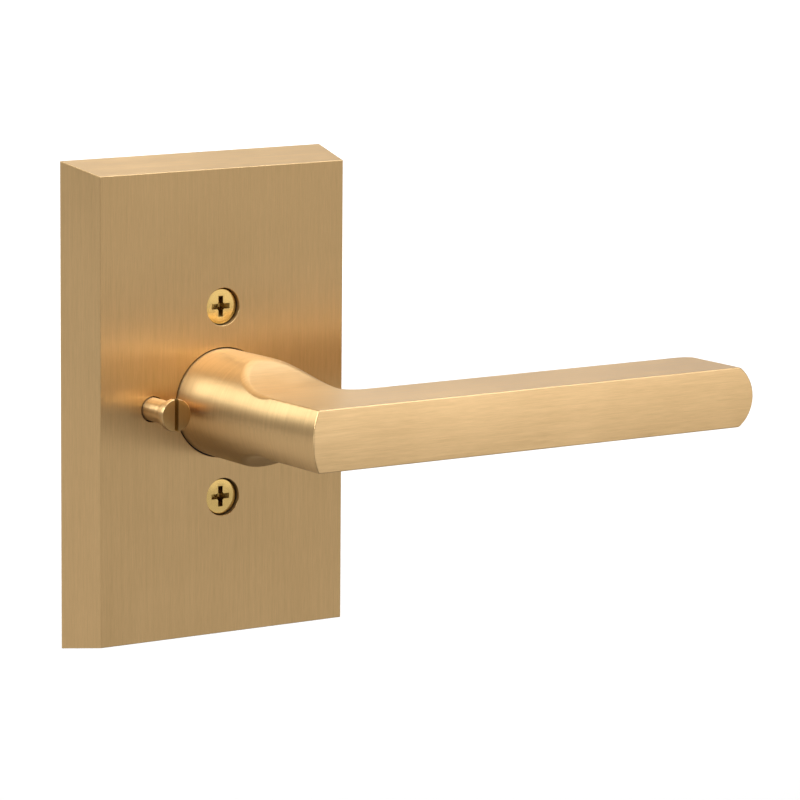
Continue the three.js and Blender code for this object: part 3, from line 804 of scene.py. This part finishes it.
def flare():
    """(radius, y) points where the pin's head narrows to its shaft."""
    start = PIN_FACE + PIN_RIM
    points = []
    for step in range(13):
        share = step / 12
        radius = PIN_SHAFT + (PIN_HEAD - PIN_SHAFT) * (1 - share) ** 2
        points.append((radius, start + share * (PIN_FLARE_END - start), 0))
    return points


def pin_grain(points, centres, normals):
    """Grooves run up the pin's face, along its slot, and round its shaft."""
    across, along = turned_grain(PIN_X, 0.0)(points, centres, normals)
    face = (normals[:, 1] < -0.7) & (centres[:, 1] < PIN_FACE + PIN_RIM)
    return np.where(face, points[:, 0], across), np.where(face, points[:, 2], along)


def make_pin():
    shell = Shell()
    path = [(0.1, PIN_FACE, 0), (PIN_HEAD, PIN_FACE, 0.14), *flare()]
    for middle, width, depth in PIN_GROOVES:
        path += [(PIN_SHAFT, middle - width / 2, 0.06), (depth, middle - width / 2, 0.1),
                 (depth, middle + width / 2, 0.1), (PIN_SHAFT, middle + width / 2, 0.06)]
    bore, bore_end = PIN_BORE
    path += [(PIN_SHAFT, PIN_TAIL, 0.3), (bore, PIN_TAIL, 0.1), (bore, bore_end, 0.05), (0.1, bore_end, 0)]
    shell.turned(path, 96, PIN_X, 0.0, steps=4)
    width, depth = PIN_SLOT
    sides = (PIN_X - width / 2, PIN_X + width / 2, -PIN_HEAD - 1, PIN_HEAD + 1)
    slot = block_mesh((*sides, PIN_FACE - 1), (*sides, PIN_FACE + depth))
    whole = shell.mesh("privacy_pin_button", pin_grain, own_normals=False)
    # The slot's cut faces take a darker brass: painted shade.
    mesh = carved(whole, [slot], pin_grain, "satin_brass", "slot_brass_painted_shade")
    coat(mesh, "pin_brass")
    for face in mesh.polygons:
        if face.normal.y < -0.9 and face.center.y < (PIN_FACE + 0.05) * MM:
            face.material_index = 2
    piece = add_object("privacy_pin_button", mesh, "pin_assembly", "satin_brass", "privacy_pin")
    soften(piece, 0.07, 40.0)


def cross_cutters(x, z, face, inwards, span, width, depth):
    """Two tapered blades and a cone, the shape of a cross-head driver's tip."""
    top, bottom = face - 0.4 * inwards, face + depth * inwards
    at_top = (span / 2 * 1.08, width / 2 * 1.08, top)
    at_bottom = (span / 2 * 0.4, width / 2 * 0.72, bottom)
    cutters = []
    for lengthwise in (True, False):
        ends = []
        for long, thin, y in (at_top, at_bottom):
            half_x, half_z = (long, thin) if lengthwise else (thin, long)
            ends.append((x - half_x, x + half_x, z - half_z, z + half_z, y))
        cutters.append(block_mesh(*ends))
    cone = Shell()
    path = [(0.05, top, 0), (width, top, 0), (width * 0.35, bottom + 0.2 * depth * inwards, 0),
            (0.05, bottom + 0.3 * depth * inwards, 0)]
    cone.turned(path, 24, x, z, turn=-inwards)
    cutters.append(cone.mesh("cutter", turned_grain(x, z), own_normals=False))
    return cutters


def add_screw(name, node, shell, x, z, face, inwards, cross, finish, cut_shade_finish):
    """A screw with a cross recess cut in its head, the recess in a darker finish: painted shade."""
    grain = turned_grain(x, z)
    cutters = cross_cutters(x, z, face, inwards, *cross)
    mesh = carved(shell.mesh(name, grain, own_normals=False), cutters, grain, finish, cut_shade_finish)
    mesh.shade_smooth()
    mesh.set_sharp_from_angle(angle=math.radians(42))
    add_object(name, mesh, "rose_assembly", finish, node)


def threaded_shank(shell, start_loop, start, sides, z):
    """A rolled thread from the plain shank to the tip, as one surface with the loop it starts from."""
    angles = np.arange(sides) * TAU / sides
    steps = int((SCREW_TIP - start) / THREAD_PITCH * 8)
    rings = []
    for y in np.linspace(start, SCREW_TIP, steps + 1):
        phase = (y / THREAD_PITCH - angles / TAU) % 1.0
        ridge = np.clip(1.6 - np.abs(phase - 0.5) * 4.2, 0, 1)
        fade = min(1.0, (y - start) / THREAD_PITCH)
        narrow = max(0.0, (y - SCREW_TIP + SCREW_TAPER) / SCREW_TAPER) * 0.6
        radii = SCREW_SHANK - narrow - THREAD_DEPTH * (1 - ridge) * fade
        rings.append(bare(around(radii, angles, y, z=z)))
    _, last = shell.skin(rings, start_loop)
    shell.fan(last, (0, SCREW_TIP, z), (0, 1, 0))


def make_mounting_screw(node, z):
    sides = 72
    shell = Shell()
    seat = SCREW_FACE + SCREW_HEAD_HEIGHT
    thread = seat + SCREW_PLAIN
    path = [(0.1, SCREW_FACE, 0), (SCREW_HEAD, SCREW_FACE, 0.22), (SCREW_HEAD, seat, 0.12),
            (SCREW_SHANK, seat, 0.15), (SCREW_SHANK, thread, 0)]
    front, last = shell.revolve(path, -1, sides, z=z, steps=4)
    shell.fan(front, (0, SCREW_FACE, z), (0, -1, 0))
    threaded_shank(shell, last, thread, sides, z)
    # The cross recess is cut in a darker brass: painted shade.
    add_screw(node + "_threaded", node, shell, 0.0, z, SCREW_FACE, 1, SCREW_CROSS,
              "bright_brass", "recess_brass_painted_shade")


# ---------------- plate, rings, rivets and spindle

def make_plate():
    shell = Shell()
    back = PLATE_HIGH[1] - COLLAR_STEP
    front = back - PLATE_THICKNESS
    half_x, half_z = PLATE_HIGH[0], PLATE_HIGH[2]
    corner_x, corner_z = PLATE_SCREW_AT
    holes = [hole(PLATE_CENTRE_HOLE, sides=96), hole(PIN_HOLE, x=PIN_X)]
    for side in (1, -1):
        holes.append(hole(PLATE_SCREW_HOLES[0], z=side * SCREW_Z))
        holes.append(hole(PLATE_SCREW_HOLES[1], side * RIVET_AT, side * RIVET_AT, 28))
        holes.append(hole(PLATE_SCREW_HOLES[2], side * corner_x, corner_z, 28))
        holes.append(hole(PLATE_SCREW_HOLES[2], side * corner_x, -corner_z, 28))
    shell.slab([rectangle(half_x, half_z, PLATE_CORNER, 10), *holes], front, back, 0.16)
    for angle in (45, 135, 225, 315):
        tab = band(COLLAR_INNER, COLLAR_OUTER, angle - COLLAR_ANGLE, angle + COLLAR_ANGLE, corner=0.4)
        shell.slab([tab], back - 0.1, PLATE_HIGH[1], 0.2)
    for side in (1, -1):
        middle = -90 + side * STOP_ANGLE
        stop = band(STOP_INNER, STOP_OUTER, middle - STOP_HALF, middle + STOP_HALF, corner=0.15)
        shell.slab([stop], PLATE_LOW[1], front + 0.1, 0.06)
        post = disc(POST_RADIUS, PIN_X, side * POST_Z, 32)
        shell.slab([post], front - POST_HEIGHT, front + 0.1, 0.15)
    mesh = shell.mesh("pressed_plate", plain_grain)
    add_object("pressed_plate", mesh, "rose_assembly", "zinc_steel", "mounting_plate")


def make_ring(name, node, body, slot, radii, mouth, x=0.0, lugs=False):
    """A snap ring with its mouth upwards, or a plain washer where mouth is 0."""
    low, high = box_mm(node)
    inner, outer = radii
    shell = Shell()
    if mouth:
        gap = math.degrees(math.asin(mouth / ((inner + outer) / 2)))
        loops = [band(inner, outer, 90 + gap, 450 - gap, x=x, corner=0.3)]
        for side in (1, -1) if lugs else ():
            angle = math.radians(90 + side * (gap + 8))
            middle = (inner + outer) / 2
            loops.append(hole(0.5, x + middle * math.cos(angle), middle * math.sin(angle), 20))
    else:
        loops = [disc(outer, x=x), hole(inner, x=x, sides=80)]
    shell.slab(loops, low[1], high[1], 0.1)
    add_object(name, shell.mesh(name, turned_grain(x, 0.0)), body, slot, node)


def make_rivet(number):
    node = f"cage_rivet_{number}"
    low, high = box_mm(node)
    at = (low[0] + high[0]) / 2
    head = (high[0] - low[0]) / 2
    shell = Shell()
    path = [(0.05, low[1], 0), (head * 0.62, low[1], 0.5), (head, low[1] + 0.48, 0.2),
            (head, low[1] + RIVET_HEAD, 0.1), (RIVET_SHANK, low[1] + RIVET_HEAD, 0.1),
            (RIVET_SHANK, high[1] - RIVET_HEAD, 0.1), (head, high[1] - RIVET_HEAD, 0.1),
            (head, high[1] - 0.48, 0.2), (head * 0.62, high[1], 0.5), (0.05, high[1], 0)]
    shell.turned(path, 40, at, at, steps=4)
    name = f"domed_rivet_{number}"
    mesh = shell.mesh(name, turned_grain(at, at))
    add_object(name, mesh, "rose_assembly", "zinc_steel", node)


def make_plate_screw(number):
    node = f"plate_screw_{number}"
    low, high = box_mm(node)
    x, z = (low[0] + high[0]) / 2, (low[2] + high[2]) / 2
    head, top = (high[0] - low[0]) / 2, high[1]
    seat = top - PLATE_SCREW_HEAD
    shell = Shell()
    path = [(0.05, low[1], 0), (0.25, low[1], 0), (PLATE_SCREW_SHANK, low[1] + 1.6, 0),
            (PLATE_SCREW_SHANK, seat, 0.1), (head, seat, 0.12), (head, top, 0.62), (0.05, top, 0)]
    shell.turned(path, 48, x, z)
    # The cross recess is cut in a darker zinc: painted shade.
    add_screw(f"pan_screw_{number}", node, shell, x, z, top, -1, PLATE_SCREW_CROSS,
              "zinc_steel", "recess_zinc_painted_shade")


def make_spindle():
    low, high = box_mm("spindle")
    radius = high[0]
    cut = math.degrees(math.asin(low[2] / radius))
    angles = np.radians(np.linspace(cut, 180 - cut, 25))
    corners = [(radius * math.cos(a), radius * math.sin(a), 0) for a in angles]
    for end in (0, -1):
        corners[end] = (*corners[end][:2], 0.4)
    shell = Shell()
    shell.slab([outline(corners, 4)], low[1], high[1], 0.25)
    mesh = shell.mesh("half_round_spindle", bar_grain)
    add_object("half_round_spindle", mesh, "lever_assembly", "zinc_steel", "spindle")


def make_rod():
    """A round rod whose far end is pressed into a flat blade."""
    low, high = box_mm("locking_rod")
    radius = (high[0] - low[0]) / 2
    shell = Shell()
    angles = np.arange(40) * TAU / 40
    stations = [
        (low[1], radius - ROD_CHAMFER, radius),
        (low[1] + ROD_CHAMFER, radius, radius),
        (ROD_BLADE - 0.9, radius, radius),
        (ROD_BLADE - 0.5, radius, 0.92),
        (ROD_BLADE, radius, ROD_BLADE_HALF),
        (high[1] - 0.25, radius, ROD_BLADE_HALF),
        (high[1], radius - ROD_CHAMFER, ROD_BLADE_HALF - ROD_CHAMFER),
    ]
    rings = []
    for y, reach, half in stations:
        points = around(reach, angles, y, x=PIN_X)
        points[:, 2] = np.clip(points[:, 2], -half, half)
        rings.append(bare(points))
    first, last = shell.skin(rings)
    shell.fan(first, (PIN_X, low[1], 0), (0, -1, 0))
    shell.fan(last, (PIN_X, high[1], 0), (0, 1, 0))
    mesh = shell.mesh("bladed_rod", bar_grain, own_normals=False)
    mesh.set_sharp_from_angle(angle=math.radians(38))
    add_object("bladed_rod", mesh, "pin_assembly", "zinc_steel", "locking_rod")


# ---------------- materials

class Nodes:
    """Shorthand for building one material's nodes."""

    def __init__(self, name):
        self.material = bpy.data.materials.new(name)
        self.material.use_nodes = True
        self.tree = self.material.node_tree
        self.shader = self.tree.nodes["Principled BSDF"]

    def add(self, kind, sockets=None, **settings):
        """A new node, with values or other nodes' outputs for its input sockets."""
        node = self.tree.nodes.new("ShaderNode" + kind)
        for key, value in settings.items():
            setattr(node, key, value)
        for key, value in (sockets or {}).items():
            self.feed(node.inputs[key], value)
        return node

    def feed(self, socket, value):
        """Links an output to this input, or sets it to a number, a direction or a colour."""
        if isinstance(value, bpy.types.NodeSocket):
            self.tree.links.new(value, socket)
        else:
            socket.default_value = (*value, 1.0) if socket.type == "RGBA" else value

    def shade(self, **sockets):
        """Feeds the shader's own sockets, with _ for the blanks in their names."""
        for name, value in sockets.items():
            self.feed(self.shader.inputs[name.replace("_", " ")], value)

    def place(self):
        """The point's place in metres, the same from every side."""
        return self.add("TexCoord").outputs["Object"]

    def noise(self, vector, scale, detail=3.0, roughness=0.5):
        sockets = {"Vector": vector, "Scale": scale, "Detail": detail, "Roughness": roughness}
        return self.add("TexNoise", sockets).outputs["Fac"]

    def stretched(self, vector, across, along):
        """The vector scaled so that a noise read with it has streaks along V."""
        return self.add("Mapping", {"Vector": vector, "Scale": (across, along, 1.0)}).outputs["Vector"]

    def spread(self, value, low, high, start=0.25, end=0.75):
        """Carries start and end over to low and high, and what lies between them in step."""
        sockets = {"Value": value, "From Min": start, "From Max": end, "To Min": low, "To Max": high}
        return self.add("MapRange", sockets).outputs["Result"]

    def maths(self, operation, one, other):
        return self.add("Math", {0: one, 1: other}, operation=operation).outputs[0]

    def blended(self, one, other, share):
        """One value mixed with a share of the other."""
        return self.maths("ADD", self.maths("MULTIPLY", one, 1 - share),
                          self.maths("MULTIPLY", other, share))

    def mixed(self, share, one, other):
        """A colour from one to the other."""
        return self.add("Mix", {"Factor": share, 6: one, 7: other}, data_type="RGBA").outputs[2]

    def bump(self, height, distance, **under):
        return self.add("Bump", {"Height": height, "Distance": distance, **under}).outputs["Normal"]


def brushed_brass(name, colour, deep, roughness, anisotropy, groove=1.0):
    """Satin metal: fine grooves along V of the grain map, with faint cloudy and streaky variation."""
    n = Nodes(name)
    uv = n.add("UVMap", uv_map="grain").outputs["UV"]
    fine = n.noise(n.stretched(uv, 4.2, 0.2), 1.0, 4.0, 0.65)
    broad = n.noise(n.stretched(uv, 1.1, 0.03), 1.0, 3.0, 0.55)
    cloud = n.noise(n.place(), 38.0, 3.0, 0.5)
    streaks = n.blended(fine, broad, 0.4)
    tone = n.spread(n.blended(streaks, cloud, 0.3), 0, 1, 0.35, 0.65)
    patchy = n.spread(cloud, roughness - 0.015, roughness + 0.015)
    n.shade(
        Base_Color=n.mixed(tone, deep, colour),
        Roughness=n.maths("ADD", n.spread(streaks, -0.05, 0.05, 0.35, 0.65), patchy),
        Normal=n.bump(fine, 8e-6 * groove, Normal=n.bump(broad, 1.2e-5 * groove)),
        Tangent=n.add("Tangent", direction_type="UV_MAP", uv_map="grain").outputs["Tangent"],
        Metallic=1.0,
        Anisotropic=anisotropy,
    )
    return n.material


def worked_metal(name, colour, deep, roughness, scale=900.0):
    """Stamped or rolled metal without a grain: mottled, with fine pitting."""
    n = Nodes(name)
    fine = n.noise(n.place(), scale, 4.0, 0.6)
    cloud = n.noise(n.place(), 90.0, 3.0, 0.55)
    tone = n.spread(n.blended(fine, cloud, 0.6), 0, 1, 0.35, 0.65)
    n.shade(
        Base_Color=n.mixed(tone, deep, colour),
        Roughness=n.spread(cloud, roughness - 0.06, roughness + 0.08, 0.3, 0.7),
        Normal=n.bump(fine, 6e-6),
        Metallic=1.0,
    )
    return n.material


def moulded_nylon(name, colour, deep):
    n = Nodes(name)
    grit = n.noise(n.place(), 2500.0, 2.0)
    tone = n.mixed(n.spread(grit, 0, 1), deep, colour)
    n.shade(Base_Color=tone, Roughness=n.spread(grit, 0.42, 0.58), Normal=n.bump(grit, 1e-5))
    return n.material


# A light colour, a deep one, the roughness, the anisotropy and how deep the grooves are.
BRUSHED = {
    "satin_brass": ((0.775, 0.516, 0.246), (0.605, 0.394, 0.179), 0.40, 0.86),
    "pin_brass": ((0.50, 0.31, 0.125), (0.42, 0.255, 0.10), 0.36, 0.6),
    "bright_brass": ((0.80, 0.56, 0.20), (0.72, 0.48, 0.16), 0.2, 0.2, 0.5),
}
# A light colour, a deep one, the roughness and how fine the pitting is.
WORKED = {
    "zinc_steel": ((0.60, 0.61, 0.63), (0.50, 0.51, 0.53), 0.34),
    "spring_steel": ((0.30, 0.30, 0.31), (0.22, 0.22, 0.23), 0.3),
    "cast_brass": ((0.55, 0.40, 0.22), (0.42, 0.30, 0.15), 0.5, 1500.0),
    # The two recess finishes are darker copies of the screws' brass and zinc: painted shade in the cross
    # recesses.
    "recess_brass_painted_shade": ((0.46, 0.30, 0.085), (0.30, 0.19, 0.05), 0.3, 2000.0),
    "recess_zinc_painted_shade": ((0.40, 0.40, 0.42), (0.28, 0.28, 0.30), 0.35, 2000.0),
    # The slot finish is a darker brass than the pin's satin brass: painted shade in the pin's slot.
    "slot_brass_painted_shade": ((0.56, 0.37, 0.13), (0.42, 0.27, 0.09), 0.45, 2000.0),
}
FINISHES = {"black_nylon": moulded_nylon("black_nylon", (0.03, 0.03, 0.031), (0.016, 0.016, 0.017))}
for name, look in BRUSHED.items():
    FINISHES[name] = brushed_brass(name, *look)
for name, look in WORKED.items():
    FINISHES[name] = worked_metal(name, *look)


# ---------------- the object

make_rose()
make_lever()
make_pin()
make_mounting_screw("mounting_screw_upper", SCREW_Z)
make_mounting_screw("mounting_screw_lower", -SCREW_Z)
make_plate()
make_ring("snap_ring", "retaining_ring", "lever_assembly", "spring_steel",
          RING_RADII, RING_MOUTH, lugs=True)
make_ring("flat_washer", "thrust_washer", "lever_assembly", "zinc_steel", WASHER_RADII, 0)
make_ring("pin_snap_ring", "pin_clip", "pin_assembly", "spring_steel", CLIP_RADII, CLIP_MOUTH, x=PIN_X)
for number in (1, 2):
    make_rivet(number)
for number in (1, 2, 3, 4):
    make_plate_screw(number)
make_spindle()
make_rod()

# The CAD nodes that no piece replaced keep their shapes and take their slots' finishes.
for subpart in frame["record"]["subparts"]:
    node = frame["nodes"][subpart["node"]]
    if node.hide_render:
        continue
    for slot in node.material_slots:
        slot.material = FINISHES[subpart["material_slot"]]


# ---------------- studio

# The camera stands VIEW_DISTANCE metres back, and its axis passes the origin by AIM_RIGHT and AIM_UP.
VIEW_AZIMUTH = math.radians(34.08)
VIEW_ELEVATION = math.radians(9.42)
VIEW_ROLL = math.radians(0.46)
VIEW_DISTANCE = 1.082
AIM_RIGHT, AIM_UP = 0.04637, -0.00138
LENS = 219.06


def make_camera():
    forward = Vector((
        math.sin(VIEW_AZIMUTH) * math.cos(VIEW_ELEVATION),
        math.cos(VIEW_AZIMUTH) * math.cos(VIEW_ELEVATION),
        -math.sin(VIEW_ELEVATION),
    ))
    level = Vector((math.cos(VIEW_AZIMUTH), -math.sin(VIEW_AZIMUTH), 0))
    upright = level.cross(forward)
    right = math.cos(VIEW_ROLL) * level + math.sin(VIEW_ROLL) * upright
    up = math.cos(VIEW_ROLL) * upright - math.sin(VIEW_ROLL) * level
    camera = place_object("camera", bpy.data.cameras.new("camera"))
    camera.data.lens = LENS
    camera.data.sensor_width = 36.0
    camera.data.clip_end = 60.0
    place = right * AIM_RIGHT + up * AIM_UP - forward * VIEW_DISTANCE
    turn = Matrix((right, up, -forward)).transposed().to_4x4()
    camera.matrix_world = Matrix.Translation(place) @ turn
    bpy.context.scene.camera = camera


def lay_sheet(name, place, size, tones, scale, roughness):
    """A flat sheet of the studio, in two close greys."""
    mesh = bpy.data.meshes.new(name)
    corners = [Vector(place) + Vector((x * size[0] / 2, y * size[1] / 2, 0))
               for x, y in ((-1, -1), (1, -1), (1, 1), (-1, 1))]
    mesh.from_pydata(corners, [], [(0, 1, 2, 3)])
    sheet = place_object(name, mesh)
    n = Nodes(name + "_surface")
    tone = n.mixed(n.noise(n.place(), scale), *tones)
    n.shade(Base_Color=tone, Roughness=roughness, Specular_IOR_Level=0.1)
    mesh.materials.append(n.material)
    return sheet


def softbox(name, place, aim, width, height, power, colour=(1, 1, 1)):
    light = bpy.data.lights.new(name, "AREA")
    light.shape = "RECTANGLE"
    light.size = width
    light.size_y = height
    light.energy = power
    light.color = colour
    box = place_object(name, light)
    box.location = place
    box.rotation_euler = (Vector(aim) - Vector(place)).to_track_quat("-Z", "Y").to_euler()
    box.visible_camera = False
    return box


def make_world(strength):
    world = bpy.data.worlds.new("studio")
    bpy.context.scene.world = world
    world.use_nodes = True
    background = world.node_tree.nodes["Background"].inputs
    background["Color"].default_value = (1.0, 1.0, 1.0, 1.0)
    background["Strength"].default_value = strength


# Where each softbox stands, its width and height, its power and its colour.
SOFTBOXES = {
    "left": ((-1.3, 0.1, 0.8), 0.8, 0.8, 24, (0.91, 1.0, 1.06)),
    "front_left": ((-0.4, -0.6, 1.3), 0.8, 0.8, 7.5, (1.0, 1.0, 1.0)),
    "front_right": ((1.0, -1.1, 0.9), 0.8, 0.8, 6, (0.97, 1.0, 1.15)),
    "overhead": ((0.5, -0.7, 1.3), 0.8, 0.8, 13.3, (0.92, 1.06, 1.28)),
    "low_right": ((0.9, -1.4, 0.1), 0.8, 0.6, 1.1, (1.0, 1.0, 1.0)),
    "back": ((0.1, 1.3, 1.15), 1.7, 0.9, 3.0, (1.0, 0.95, 1.04)),
    "low_back": ((0.9, 1.4, 0.4), 1.0, 0.6, 0.75, (0.72, 0.92, 1.5)),
    "rake": ((0.95, 1.2, 0.72), 0.5, 0.3, 0.3, (1.0, 0.98, 1.0)),
}
SUBJECT = (0.03, -0.03, 0)
make_camera()
lay_sheet("floor", (0, 0, -0.35), (60.0, 60.0), ((0.84, 0.84, 0.835), (0.86, 0.86, 0.855)), 6.0, 0.9)

# A grey card low under the object, out of the camera's sight, shades its undersides.
flag = lay_sheet("flag", (0, -0.18, -0.33), (0.9, 0.6), ((0.16,) * 3, (0.2,) * 3), 900.0, 0.95)
flag.visible_camera = False
flag.visible_diffuse = False
flag.visible_shadow = False
make_world(0.4)
for name, (place, width, height, power, colour) in SOFTBOXES.items():
    softbox(name, place, SUBJECT, width, height, power, colour).visible_diffuse = False
softbox("floor_light", (2.0, 4.0, 3.5), (1.5, 3.0, -0.35), 5.0, 5.0, 350).visible_glossy = False

bpy.context.scene.view_settings.view_transform = "Standard"
